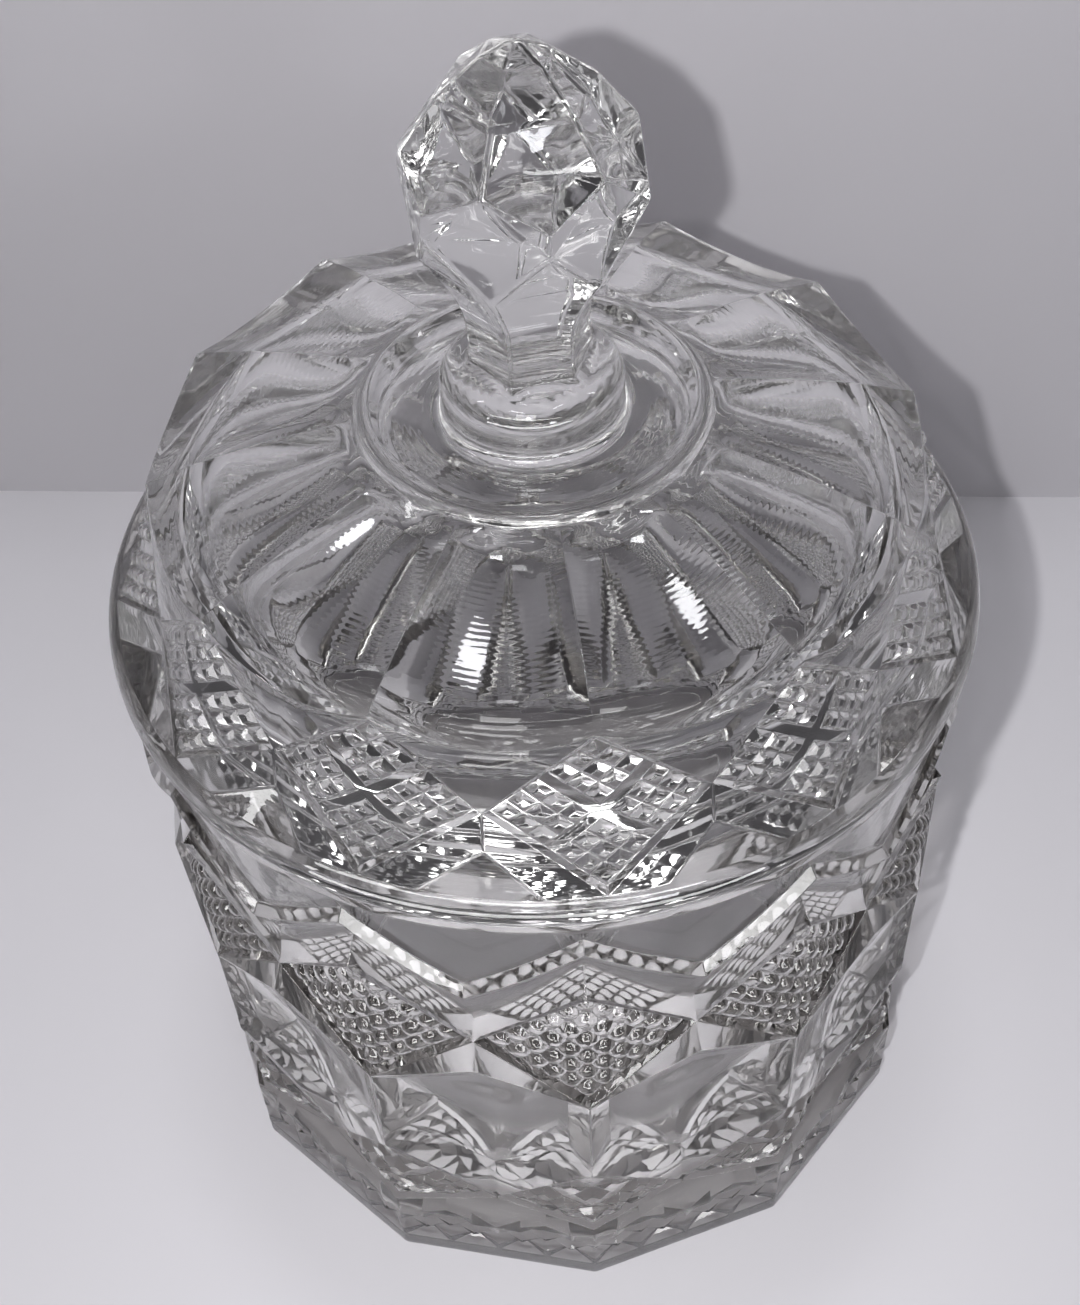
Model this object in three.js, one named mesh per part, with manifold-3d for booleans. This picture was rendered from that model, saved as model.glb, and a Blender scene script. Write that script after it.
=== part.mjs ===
// Covered pressed-glass powder jar: a patterned jar and a domed lid with a faceted knob.
// Units are millimetres, +Z is up, the front is -Y and the origin is the centre of the foot.
import * as THREE from "three";
import { mergeVertices } from "three/addons/utils/BufferGeometryUtils.js";
import Module from "manifold-3d";

const wasm = await Module();
wasm.setup();

// Shared layout
const COLUMNS = 12;
const STEP = 360 / COLUMNS;
const HALF = STEP / 2;
const JAR_TURN = 2.6;
const LID_TURN = 5.7;
const KNOB_TURN = 11;
const RING_STEPS = 8;
const HALF_STEPS = RING_STEPS / 2;
const WELD = 0.0001;

// Jar: radius and height of each corner of the pattern, on a column or midway between two
const JAR_TOP = 101.5;
const LIP = [[59.2, 99.6], [58.8, 101], [57.9, JAR_TOP], [0, JAR_TOP]];
const ZIGZAG_PEAK = [59.2, 92.8];
const ZIGZAG_VALLEY = [59.2, 84];
const GROOVE_PEAK = [58, 90];
const GROOVE_VALLEY = [57.4, 79.6];
const SWAG_DIP = 0.4;
const UPPER_TOP = [59.8, 84.8];
const UPPER_SIDE = [57.6, 70];
const UPPER_BOTTOM = [60, 56.6];
const UPPER_NAILS = 6;
const UPPER_BULGE = 1.8;
const WINDOW_TOP = [59.4, 65];
const WINDOW_CORNER = [60, 38.6];
const WINDOW_BOTTOM = [55.2, 23];
const WINDOW_INSET = 0.78;
const WINDOW_RECESS = 1;
const WINDOW_DISH = 1.6;
const WINDOW_EDGE_STEPS = 3;
const LOWER_TOP = [60, 35.4];
const LOWER_SIDE = [55.7, 18.6];
const LOWER_BOTTOM = [60, 17.6];
const LOWER_NAILS = 2;
const LOWER_BULGE = 2.6;
const KITE_BOTTOM = [58.3, 13.4];
const FOOT_COLUMN_RADIUS = 60;
const FOOT_FLAT_RADIUS = 57.96;
const FOOT_FIELD_TOP = 16;
const FOOT_FIELD_BOTTOM = 4.6;
const FOOT_ROWS = 6;
const FOOT_TOOTH = 2;
const FOOT_NAIL_DEPTH = 0.9;
const FOOT_EDGE_HEIGHT = 1.4;
const FOOT_EDGE_INSET = 1.4;
const NAIL_DEPTH = 1.4;
const NAIL_RISE = 1.3;
const FRAME_SHARE = 0.08;
const CHANNEL_HALF = 0.045;

// Jar hollow and the shallow recess under the foot
const CAVITY_PROFILE = [
  [0, 9.5], [38, 9.6], [44, 10.9], [47.6, 14.2], [49, 19], [50.3, 60],
  [50.8, 100.4], [51.7, 101.3], [51.9, 102.5], [0, 102.5],
];
const BASE_RECESS_PROFILE = [[0, -1], [47, -1], [46, 0.6], [42, 1.4], [0, 1.4]];
const INNER_SEGMENTS = 60;

// Lid skirt, rim and plug ring, from the middle of the underside to the ledge below the diamonds
const LID_EDGE = [
  [48.7, 98.3], [49.2, 98.8], [49.2, 101.8], [58.6, 101.8], [59.7, 102.4],
  [60, 103.5], [59.7, 104.6], [58.9, 105.2], [58.2, 105.4],
];
const JUNCTION_RADIUS = 52.4;
const JUNCTION_HEIGHT = 114.3;
const PEAK_RADIUS = 53.2;
const PEAK_HEIGHT = 108;
const TIP_RADIUS = 50.4;
const TIP_HEIGHT = 125.6;
const LID_BULGE = 1.3;
const LID_NAILS = 3;
const LID_NAIL_RISE = 0.9;
const LID_FRAME_DEPTH = 0.7;

// Flutes: radius on the ridge, radius in the hollow, ridge height and depth of the hollow
const FLUTES = [
  [50.4, 50.2, 125.6, 2.5], [48.6, 48.4, 126.3, 2.4], [42, 42, 128.4, 2.3],
  [34, 34, 130.3, 2.1], [27.4, 26.6, 131.4, 1.7], [25.2, 24, 131.7, 0.7], [23, 23, 131.7, 0],
];
const COLLAR = [
  [22.4, 132.3], [21.5, 132.7], [20.6, 132.4], [19.7, 131.5], [16.5, 131.3], [12.6, 131.8],
  [11.6, 133.2], [11.8, 135.6], [11.1, 137.8], [8.8, 139.6], [6, 141], [0, 141.8],
];
const COLLAR_STEPS = 4;
const HOLLOW_PROFILE = [
  [0, 97], [46, 97], [46, 108], [45.6, 114.5], [44.2, 118], [41, 120], [22, 123.2], [0, 124.4],
];

// Knob and stem: a six-sided finial, radius on the corner and height
const KNOB_SIDES = 6;
const KNOB_HALF = 180 / KNOB_SIDES;
const APEX_HEIGHT = 182;
const TABLE_RING = [4.1, 180.4];
const CROWN_RING = [9.4, 176.4];
const GIRDLE_RING = [13.8, 170.7];
const NOTCH_RING = [14.9, 166.8];
const POINT_RING = [15.2, 164.2];
const CHIN_RING = [13, 156.3];
const STEM_RINGS = [[10.2, 152.4], [8.2, 147], [7.8, 143.4], [8.2, 137]];
const KNOB_DISH = 0.8;
const KNOB_EDGE_STEPS = 3;
const DISH_RINGS = 3;

function at(angle, radius, height) {
  const a = THREE.MathUtils.degToRad(angle);
  return new THREE.Vector3(radius * Math.sin(a), -radius * Math.cos(a), height);
}

function edge(from, to, steps) {
  return Array.from({ length: steps + 1 }, (_, i) => from.clone().lerp(to, i / steps));
}

function ring(radius, height, steps) {
  return Array.from({ length: steps + 1 }, (_, i) => at(-HALF + (STEP * i) / steps, radius, height));
}

// A curve over half a column, on the left at its middle and on the right at the next boundary
function halfCurve(pointAt) {
  return Array.from({ length: HALF_STEPS + 1 }, (_, i) => pointAt(i / HALF_STEPS));
}

function addFace(skin, a, b, c) {
  const flat = a.distanceTo(b) < WELD || b.distanceTo(c) < WELD || c.distanceTo(a) < WELD;
  if (!flat) skin.push([a, b, c]);
}

// Fills the strip between two lines that both run anticlockwise seen from outside
function zip(skin, outer, inner) {
  const outerCount = outer.length - 1;
  const innerCount = inner.length - 1;
  let i = 0;
  let j = 0;
  while (i < outerCount || j < innerCount) {
    const outerFirst = (i + 1) * innerCount <= (j + 1) * outerCount;
    if (j === innerCount || (i < outerCount && outerFirst)) {
      addFace(skin, outer[i], outer[i + 1], inner[j]);
      i += 1;
    } else {
      addFace(skin, outer[i], inner[j + 1], inner[j]);
      j += 1;
    }
  }
}

function zipAll(skin, lines) {
  for (let i = 1; i < lines.length; i += 1) zip(skin, lines[i - 1], lines[i]);
}

function mirrored(skin) {
  const flip = (p) => new THREE.Vector3(-p.x, p.y, p.z);
  return skin.map(([a, b, c]) => [flip(a), flip(c), flip(b)]);
}

function repeated(skin, count, turn) {
  const axis = new THREE.Vector3(0, 0, 1);
  const copies = [];
  for (let k = 0; k < count; k += 1) {
    const angle = THREE.MathUtils.degToRad(turn + (360 * k) / count);
    copies.push(...skin.map((face) => face.map((p) => p.clone().applyAxisAngle(axis, angle))));
  }
  return copies;
}

function facing(corners) {
  const across = corners[1].clone().sub(corners[3]);
  const upward = corners[2].clone().sub(corners[0]);
  return across.cross(upward).normalize();
}

// Corners run bottom, right, top, left; the bulge lifts the middle of the sheet
function sheet(corners, bulge) {
  const normal = facing(corners);
  const tent = (t) => 1 - Math.abs(2 * t - 1);
  return (u, v) => {
    const low = corners[0].clone().lerp(corners[1], u);
    const high = corners[3].clone().lerp(corners[2], u);
    return low.lerp(high, v).addScaledVector(normal, bulge * tent(u) * tent(v));
  };
}

// Fills a sheet with small four-sided points, leaving flat channels where cells are marked
function addNails(skin, sheetAt, normal, breaks, channel, rise) {
  for (let i = 0; i < breaks.length - 1; i += 1) {
    for (let j = 0; j < breaks.length - 1; j += 1) {
      const cell = [
        sheetAt(breaks[i], breaks[j]), sheetAt(breaks[i + 1], breaks[j]),
        sheetAt(breaks[i + 1], breaks[j + 1]), sheetAt(breaks[i], breaks[j + 1]),
      ];
      const middle = sheetAt((breaks[i] + breaks[i + 1]) / 2, (breaks[j] + breaks[j + 1]) / 2);
      const plain = i === channel || j === channel;
      const peak = middle.addScaledVector(normal, plain ? 0 : rise);
      cell.forEach((corner, k) => addFace(skin, corner, cell[(k + 1) % cell.length], peak));
    }
  }
}

function evenBreaks(count) {
  return Array.from({ length: count + 1 }, (_, i) => i / count);
}

function quarteredBreaks(count) {
  const low = evenBreaks(count).map((t) => t * (0.5 - CHANNEL_HALF));
  return [...low, ...low.map((t) => 1 - t).reverse()];
}

// A framed diamond: four rim lines anticlockwise from the bottom, then the sunk field of points
function addDiamond(skin, rimLines, depth, bulge, breaks, channel, rise) {
  const corners = rimLines.map((line) => line[0]);
  const normal = facing(corners);
  const middle = corners.reduce((sum, p) => sum.add(p), new THREE.Vector3()).divideScalar(4);
  const floor = corners.map((p) => {
    return p.clone().lerp(middle, FRAME_SHARE).addScaledVector(normal, -depth);
  });
  const sheetAt = sheet(floor, bulge);
  const sides = [
    breaks.map((t) => sheetAt(t, 0)), breaks.map((t) => sheetAt(1, t)),
    breaks.map((t) => sheetAt(1 - t, 1)), breaks.map((t) => sheetAt(0, 1 - t)),
  ];
  rimLines.forEach((line, k) => zip(skin, line, sides[k]));
  addNails(skin, sheetAt, normal, breaks, channel, rise);
}

// A smooth hollow inside a closed line of points
function addDish(skin, loop, normal, depth) {
  const middle = loop.reduce((sum, p) => sum.add(p), new THREE.Vector3());
  middle.divideScalar(loop.length);
  const closed = [...loop, loop[0]];
  const ringAt = (s) => closed.map((p) => {
    return middle.clone().lerp(p, s).addScaledVector(normal, -depth * (1 - s * s));
  });
  let outer = closed;
  for (let k = 1; k < DISH_RINGS; k += 1) {
    const inner = ringAt(1 - k / DISH_RINGS);
    zip(skin, outer, inner);
    outer = inner;
  }
  zip(skin, outer, [middle.clone().addScaledVector(normal, -depth)]);
}

function loopEdges(corners, steps) {
  return corners.flatMap((p, k) => edge(p, corners[(k + 1) % corners.length], steps).slice(0, -1));
}

function toSolid(skin) {
  const numbers = skin.flatMap((face) => face.flatMap((p) => [p.x, p.y, p.z]));
  const geometry = new THREE.BufferGeometry();
  geometry.setAttribute("position", new THREE.Float32BufferAttribute(numbers, 3));
  return geometryToSolid(geometry);
}

function geometryToSolid(geometry) {
  geometry.deleteAttribute("normal");
  geometry.deleteAttribute("uv");
  const merged = mergeVertices(geometry, WELD);
  const mesh = new wasm.Mesh({
    numProp: 3,
    vertProperties: new Float32Array(merged.attributes.position.array),
    triVerts: new Uint32Array(merged.index.array),
  });
  mesh.merge();
  return new wasm.Manifold(mesh);
}

function turned(profile) {
  const points = profile.map(([radius, height]) => new THREE.Vector2(radius, height));
  const geometry = new THREE.LatheGeometry(points, INNER_SEGMENTS);
  geometry.rotateX(Math.PI / 2);
  return geometryToSolid(geometry);
}

function toMesh(solid, name, color) {
  const data = solid.getMesh();
  const geometry = new THREE.BufferGeometry();
  geometry.setAttribute("position", new THREE.Float32BufferAttribute(data.vertProperties, 3));
  geometry.setIndex(new THREE.Uint32BufferAttribute(data.triVerts, 1));
  geometry.computeVertexNormals();
  const glass = { color, roughness: 0.03, transparent: true, opacity: 0.35 };
  const mesh = new THREE.Mesh(geometry, new THREE.MeshStandardMaterial(glass));
  mesh.name = name;
  return mesh;
}

const onColumn = ([radius, height]) => at(0, radius, height);
const midway = ([radius, height]) => at(HALF, radius, height);
const leftOf = (p) => new THREE.Vector3(-p.x, p.y, p.z);

function addZigzagBand(skin) {
  const slope = (peak, valley) => halfCurve((t) => {
    return at(HALF * t, peak[0] + (valley[0] - peak[0]) * t, peak[1] + (valley[1] - peak[1]) * t);
  });
  const groove = slope(GROOVE_PEAK, GROOVE_VALLEY);
  const lower = edge(onColumn(UPPER_TOP), midway(UPPER_SIDE), HALF_STEPS);
  const swag = lower.map((p, i) => {
    const middle = p.clone().lerp(groove[i], 0.5);
    const share = 1 - SWAG_DIP / Math.hypot(middle.x, middle.y);
    return middle.set(middle.x * share, middle.y * share, middle.z);
  });
  zipAll(skin, [lower, swag, groove, slope(ZIGZAG_PEAK, ZIGZAG_VALLEY), slope(LIP[0], LIP[0])]);
}

function addLip(skin) {
  zipAll(skin, LIP.map(([radius, height]) => ring(radius, height, RING_STEPS)));
}

function upperDiamond(skin) {
  const top = onColumn(UPPER_TOP);
  const side = midway(UPPER_SIDE);
  const bottom = onColumn(UPPER_BOTTOM);
  const rims = [
    edge(bottom, side, 1), edge(side, top, HALF_STEPS),
    edge(top, leftOf(side), HALF_STEPS), edge(leftOf(side), bottom, 1),
  ];
  addDiamond(skin, rims, NAIL_DEPTH, UPPER_BULGE, evenBreaks(UPPER_NAILS), -1, NAIL_RISE);
}

function lowerDiamond(skin) {
  const top = onColumn(LOWER_TOP);
  const side = midway(LOWER_SIDE);
  const bottom = onColumn(LOWER_BOTTOM);
  const rims = [
    edge(bottom, side, HALF_STEPS), edge(side, top, 1),
    edge(top, leftOf(side), 1), edge(leftOf(side), bottom, HALF_STEPS),
  ];
  const breaks = quarteredBreaks(LOWER_NAILS);
  addDiamond(skin, rims, NAIL_DEPTH, LOWER_BULGE, breaks, LOWER_NAILS, NAIL_RISE);
}

// Built with the window's own middle at the front, so the columns are half a step either side
function addWindow(skin) {
  const top = at(0, ...WINDOW_TOP);
  const bottom = at(0, ...WINDOW_BOTTOM);
  const right = [at(HALF, ...WINDOW_CORNER), at(HALF, ...UPPER_BOTTOM)];
  const corners = [bottom, ...right, top, leftOf(right[1]), leftOf(right[0])];
  const normal = facing([bottom, right[0], top, leftOf(right[0])]);
  const middle = corners.reduce((sum, p) => sum.add(p), new THREE.Vector3());
  middle.divideScalar(corners.length);
  const inset = corners.map((p) => {
    return middle.clone().lerp(p, WINDOW_INSET).addScaledVector(normal, -WINDOW_RECESS);
  });
  corners.forEach((p, k) => {
    const next = (k + 1) % corners.length;
    zip(skin, [p, corners[next]], edge(inset[k], inset[next], WINDOW_EDGE_STEPS));
  });
  addDish(skin, loopEdges(inset, WINDOW_EDGE_STEPS), normal, WINDOW_DISH);
}

function addWindowBorder(skin) {
  addFace(skin, onColumn(UPPER_BOTTOM), midway(WINDOW_TOP), midway(UPPER_SIDE));
  const below = [onColumn(LOWER_TOP), midway(LOWER_SIDE)];
  zip(skin, below, [onColumn(WINDOW_CORNER), midway(WINDOW_BOTTOM)]);
}

function footWall(share, height, depth) {
  const corner = at(0, FOOT_COLUMN_RADIUS - depth, height);
  return corner.lerp(at(HALF, FOOT_FLAT_RADIUS - depth, height), share);
}

// A staggered field of points on the foot, with its own toothed upper border
function addFootField(skin, border) {
  const rowHeight = (FOOT_FIELD_TOP - FOOT_FIELD_BOTTOM) / FOOT_ROWS;
  const topRow = (i) => Math.abs(i - FOOT_TOOTH);
  const node = (i, row, depth) => {
    return footWall(i / HALF_STEPS, FOOT_FIELD_TOP - row * rowHeight, depth);
  };
  const low = (i, row) => {
    const onBorder = row === topRow(i) || row === FOOT_ROWS;
    return node(i, row, onBorder ? 0 : FOOT_NAIL_DEPTH);
  };
  for (let i = 0; i <= HALF_STEPS; i += 1) {
    for (let row = topRow(i) + 1; row < FOOT_ROWS; row += 2) {
      const peak = node(i, row, 0);
      if (i < HALF_STEPS) zip(skin, [low(i, row + 1), low(i + 1, row), low(i, row - 1)], [peak]);
      if (i > 0) zip(skin, [low(i, row - 1), low(i - 1, row), low(i, row + 1)], [peak]);
    }
  }
  const lastRow = [];
  for (let i = 0; i < HALF_STEPS; i += 2) {
    addFace(skin, low(i, FOOT_ROWS), low(i + 2, FOOT_ROWS), low(i + 1, FOOT_ROWS - 1));
    lastRow.push(low(i, FOOT_ROWS));
  }
  lastRow.push(low(HALF_STEPS, FOOT_ROWS));
  const teeth = halfCurve((t) => low(t * HALF_STEPS, topRow(t * HALF_STEPS)));
  zip(skin, teeth, border);
  return lastRow;
}

function addFoot(skin) {
  const side = midway(LOWER_SIDE);
  const lowerEdge = edge(onColumn(LOWER_BOTTOM), side, HALF_STEPS);
  const half = lowerEdge[FOOT_TOOTH];
  const kiteEdge = edge(half, midway(KITE_BOTTOM), FOOT_TOOTH);
  zip(skin, kiteEdge, [half, side]);
  zip(skin, [half, side], lowerEdge.slice(FOOT_TOOTH));
  const border = [...lowerEdge.slice(0, FOOT_TOOTH), ...kiteEdge];
  const lowest = addFootField(skin, border);
  const bend = [0, 0.5, 1].map((t) => footWall(t, FOOT_EDGE_HEIGHT, 0));
  const sole = [0, 0.5, 1].map((t) => footWall(t, 0, FOOT_EDGE_INSET));
  zipAll(skin, [[new THREE.Vector3(0, 0, 0)], sole, bend, lowest]);
}

function buildJar() {
  const half = [];
  addZigzagBand(half);
  addWindowBorder(half);
  addFoot(half);
  const whole = [...half, ...mirrored(half)];
  upperDiamond(whole);
  lowerDiamond(whole);
  addLip(whole);
  const windows = [];
  addWindow(windows);
  const skin = [
    ...repeated(whole, COLUMNS, JAR_TURN),
    ...repeated(windows, COLUMNS, JAR_TURN + HALF),
  ];
  return toSolid(skin).subtract(turned(CAVITY_PROFILE)).subtract(turned(BASE_RECESS_PROFILE));
}

function addLidEdge(skin) {
  const rings = LID_EDGE.map(([radius, height]) => ring(radius, height, RING_STEPS));
  const centre = [new THREE.Vector3(0, 0, LID_EDGE[0][1])];
  zipAll(skin, [centre, ...rings]);
}

function addLidSide(skin) {
  const [ledgeRadius, ledgeHeight] = LID_EDGE.at(-1);
  const ledge = halfCurve((t) => at(HALF * t, ledgeRadius, ledgeHeight));
  const peak = at(HALF, PEAK_RADIUS, PEAK_HEIGHT);
  const junction = at(HALF, JUNCTION_RADIUS, JUNCTION_HEIGHT);
  const middle = HALF_STEPS / 2;
  zip(skin, ledge.slice(middle), [peak]);
  zip(skin, [...ledge.slice(0, middle + 1), peak], [junction]);
}

function lidDiamond(skin) {
  const [ledgeRadius, ledgeHeight] = LID_EDGE.at(-1);
  const bottom = at(0, ledgeRadius, ledgeHeight);
  const side = at(HALF, JUNCTION_RADIUS, JUNCTION_HEIGHT);
  const top = at(0, TIP_RADIUS, TIP_HEIGHT);
  const rims = [
    edge(bottom, side, 1), edge(side, top, 1),
    edge(top, leftOf(side), 1), edge(leftOf(side), bottom, 1),
  ];
  const breaks = quarteredBreaks(LID_NAILS);
  addDiamond(skin, rims, LID_FRAME_DEPTH, LID_BULGE, breaks, LID_NAILS, LID_NAIL_RISE);
}

function addFlute(skin) {
  const lines = FLUTES.map(([ridge, hollow, height, depth]) => halfCurve((t) => {
    const sag = 1 - (1 - t) * (1 - t);
    return at(HALF * t, ridge + (hollow - ridge) * sag, height - depth * sag);
  }));
  const junction = at(HALF, JUNCTION_RADIUS, JUNCTION_HEIGHT);
  zip(skin, [lines[0][0], junction], lines[0]);
  zipAll(skin, lines);
}

function addCollar(skin) {
  const [radius, , height] = FLUTES.at(-1);
  const rings = COLLAR.map(([r, h]) => ring(r, h, COLLAR_STEPS));
  zipAll(skin, [ring(radius, height, RING_STEPS), ...rings]);
}

function buildKnob() {
  const corner = (side, [radius, height]) => at(side * KNOB_HALF, radius, height);
  const flatPoint = ([radius, height]) => at(0, radius, height);
  const row = (size, steps) => edge(corner(-1, size), corner(1, size), steps);
  const skin = [];
  const notch = flatPoint(NOTCH_RING);
  const point = flatPoint(POINT_RING);
  zip(skin, row(TABLE_RING, 1), [new THREE.Vector3(0, 0, APEX_HEIGHT)]);
  zip(skin, row(CROWN_RING, KNOB_EDGE_STEPS), row(TABLE_RING, 1));
  const shield = [
    notch, corner(1, GIRDLE_RING), corner(1, CROWN_RING), corner(-1, CROWN_RING),
    corner(-1, GIRDLE_RING),
  ];
  const outward = new THREE.Vector3(0, -1, 0.6).normalize();
  addDish(skin, loopEdges(shield, KNOB_EDGE_STEPS), outward, KNOB_DISH);
  const brow = edge(notch, corner(1, GIRDLE_RING), KNOB_EDGE_STEPS);
  const cheeks = [];
  addFace(cheeks, point, corner(1, CHIN_RING), notch);
  zip(cheeks, [corner(1, CHIN_RING)], brow);
  skin.push(...cheeks, ...mirrored(cheeks));
  zip(skin, row(CHIN_RING, 1), [point]);
  const stem = STEM_RINGS.map((size) => row(size, 1)).reverse();
  const heel = [new THREE.Vector3(0, 0, STEM_RINGS.at(-1)[1])];
  zipAll(skin, [heel, ...stem, row(CHIN_RING, 1)]);
  return toSolid(repeated(skin, KNOB_SIDES, KNOB_TURN));
}

function buildLid() {
  const half = [];
  addLidSide(half);
  addFlute(half);
  const whole = [...half, ...mirrored(half)];
  lidDiamond(whole);
  addLidEdge(whole);
  addCollar(whole);
  const shell = toSolid(repeated(whole, COLUMNS, LID_TURN));
  return shell.subtract(turned(HOLLOW_PROFILE)).add(buildKnob());
}

const jar = buildJar();
const lid = buildLid();
const part = new THREE.Group();
part.name = "powder_jar";
part.add(toMesh(jar, "jar", 0xe4e6ea));
part.add(toMesh(lid, "lid", 0xe9ebef));

export default part;
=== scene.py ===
"""Looks of the covered glass powder jar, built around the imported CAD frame.

Shapes are worked out in millimetres in the CAD frame (+Z up, front towards -Y, origin in the middle
of the foot) and scaled to metres when a mesh is made.
"""

import math

import bmesh
import bpy
import numpy as np
from mathutils import Matrix, Vector, noise


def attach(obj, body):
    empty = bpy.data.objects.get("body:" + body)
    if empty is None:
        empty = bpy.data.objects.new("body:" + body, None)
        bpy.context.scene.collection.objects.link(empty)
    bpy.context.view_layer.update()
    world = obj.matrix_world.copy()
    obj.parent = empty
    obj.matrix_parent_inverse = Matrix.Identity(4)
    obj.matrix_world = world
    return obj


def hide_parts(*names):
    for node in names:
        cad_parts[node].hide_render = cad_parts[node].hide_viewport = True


MM = 0.001

# Shared layout, as in the CAD
COLUMNS = 12
STEP = 360 / COLUMNS
HALF = STEP / 2
JAR_TURN = 2.6
LID_TURN = 5.7
KNOB_TURN = 11
RING_STEPS = 16
HALF_STEPS = RING_STEPS // 2

# Jar: radius and height of each corner of the pattern
LIP = [(59.2, 99.6), (59.1, 100.4), (58.8, 101), (58.4, 101.35), (57.9, 101.5), (52.4, 101.5)]
CAVITY = [
    (52.4, 101.5), (51.7, 101.3), (51.1, 100.9), (50.8, 100.2), (50.7, 92), (50.3, 60), (49.7, 38),
    (49, 22), (48.6, 17.6), (47.6, 14.2), (46.1, 12.2), (44, 10.9), (41.4, 10), (38, 9.6),
    (30, 9.5), (18, 9.5), (0, 9.5),
]
ZIGZAG_PEAK = (59.5, 95)
ZIGZAG_VALLEY = (59.5, 84.2)
BROW_PEAK = (58.2, 96.8)
BROW_VALLEY = (58.2, 86)
GROOVE_PEAK = (57, 90.4)
GROOVE_VALLEY = (56.4, 79)
SWAG_DIP = 0.7
SWAG_LINES = 6
UPPER_TOP = (59.8, 84.8)
UPPER_SIDE = (57.6, 70)
UPPER_BOTTOM = (60, 56.6)
UPPER_NAILS = 6
UPPER_BULGE = 1.8
WINDOW_TOP = (59.4, 65)
WINDOW_CORNER = (60, 38.6)
WINDOW_BOTTOM = (55.2, 23)
WINDOW_INSET = 0.78
WINDOW_RECESS = 1.5
WINDOW_DISH = 2
LOWER_TOP = (60, 35.4)
LOWER_SIDE = (55.7, 18.6)
LOWER_BOTTOM = (60, 17.6)
LOWER_NAILS = 2
LOWER_BULGE = 2.6
KITE_BOTTOM = (58.3, 13.4)
FOOT_COLUMN_RADIUS = 60
FOOT_FLAT_RADIUS = 57.96
FOOT_FIELD_TOP = 16
FOOT_FIELD_BOTTOM = 4.6
FOOT_ROWS = 6
FOOT_TOOTH = 2
FOOT_CELLS = 4
FOOT_NAIL_DEPTH = 1.7
FOOT_EDGE_HEIGHT = 1.4
FOOT_EDGE_INSET = 1.4
RECESS = [(0, 1.4), (20, 1.4), (42, 1.4), (44, 1.25), (46, 0.6), (46.4, 0)]
NAIL_DEPTH = 1.4
NAIL_RISE = 1.3
NAIL_TOP = 0.42
ROUND_NAIL_CELLS = 6
CHANNEL_HALF = 0.045
FRAME_SHARE = 0.08

# Lid: from the top of the hollow, round the plug ring and the rim, to the ledge under the diamonds
HOLLOW = [
    (0, 124.4), (12, 124.1), (22, 123.2), (31, 121.9), (38, 120.6), (41, 120), (43, 119.2),
    (44.4, 117.9), (45.3, 116), (45.8, 113.5), (46, 108), (46, 99), (46.3, 98.5), (47, 98.3),
]
PLUG = [(47, 98.3), (48.7, 98.3), (49.1, 98.5), (49.2, 98.8), (49.2, 101.8), (58.3, 101.8)]
RIM = [(58.3, 101.8), (59.4, 102), (59.85, 102.4), (59.95, 103), (59.7, 103.7), (59, 104.7), (58.2, 105.4)]
JUNCTION = (52.4, 114.3)
PEAK = (53.2, 108)
TIP = (50.4, 125.6)
LID_BULGE = 1.3
LID_NAILS = 3
LID_NAIL_RISE = 0.9
LID_FRAME_DEPTH = 0.7

# Flutes: radius on the ridge, radius in the hollow, ridge height and depth of the hollow
FLUTES = [
    (50.4, 50.2, 125.6, 2.5), (48.6, 48.4, 126.3, 2.4), (42, 42, 128.4, 2.3),
    (34, 34, 130.3, 2.1), (27.4, 26.6, 131.4, 1.7), (25.2, 24, 131.7, 0.7), (23, 23, 131.7, 0),
]
COLLAR = [
    (23, 131.7), (22.7, 132.1), (22.2, 132.55), (21.5, 132.7), (20.8, 132.5), (20.2, 132), (19.5, 131.55),
    (18, 131.35), (16, 131.35), (14, 131.4), (12.6, 131.8), (11.8, 132.6), (11.6, 133.6), (11.8, 135),
    (11.7, 136.4), (11.1, 137.8), (10, 138.9), (8.6, 139.6),
]

# Knob and stem: radius on the corner and height
KNOB_SIDES = 6
KNOB_HALF = 180 / KNOB_SIDES
APEX_HEIGHT = 182
TABLE_RING = (4.1, 180.4)
CROWN_RING = (9.4, 176.4)
GIRDLE_RING = (13.8, 170.7)
NOTCH_RING = (14.9, 166.8)
POINT_RING = (15.2, 164.2)
CHIN_RING = (13, 156.3)
STEM = [(13, 156.3), (10.4, 152.2), (8.6, 148.6), (7.9, 145), (7.8, 142), (8, 140.1)]
SHIELD_DISH = 0.8
RHOMBUS_DISH = 0.35
CHIN_DISH = 0.25
KNOB_EDGE_STEPS = 8
RELAX_ROUNDS = 600

# Softness of the pressed glass
SOFT_EDGE = 0.5
PRESSED_WEIGHT = 0.6
NAIL_WEIGHT = 0.27
KNOB_FOOT = 145
SHARP_TURN = math.radians(9)
WAVE_DEPTH = 0.05
WAVE_LENGTH = 11


def at(angle, radius, height):
    a = math.radians(angle)
    return Vector((radius * math.sin(a), -radius * math.cos(a), height))


def on_column(corner):
    return at(0, *corner)


def midway(corner):
    return at(HALF, *corner)


def left_of(p):
    return Vector((-p.x, p.y, p.z))


def edge(start, end, steps):
    return [start.lerp(end, i / steps) for i in range(steps + 1)]


def ring(corner, steps=RING_STEPS):
    return [at(-HALF + STEP * i / steps, *corner) for i in range(steps + 1)]


def half_curve(point_at):
    return [point_at(i / HALF_STEPS) for i in range(HALF_STEPS + 1)]


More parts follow.
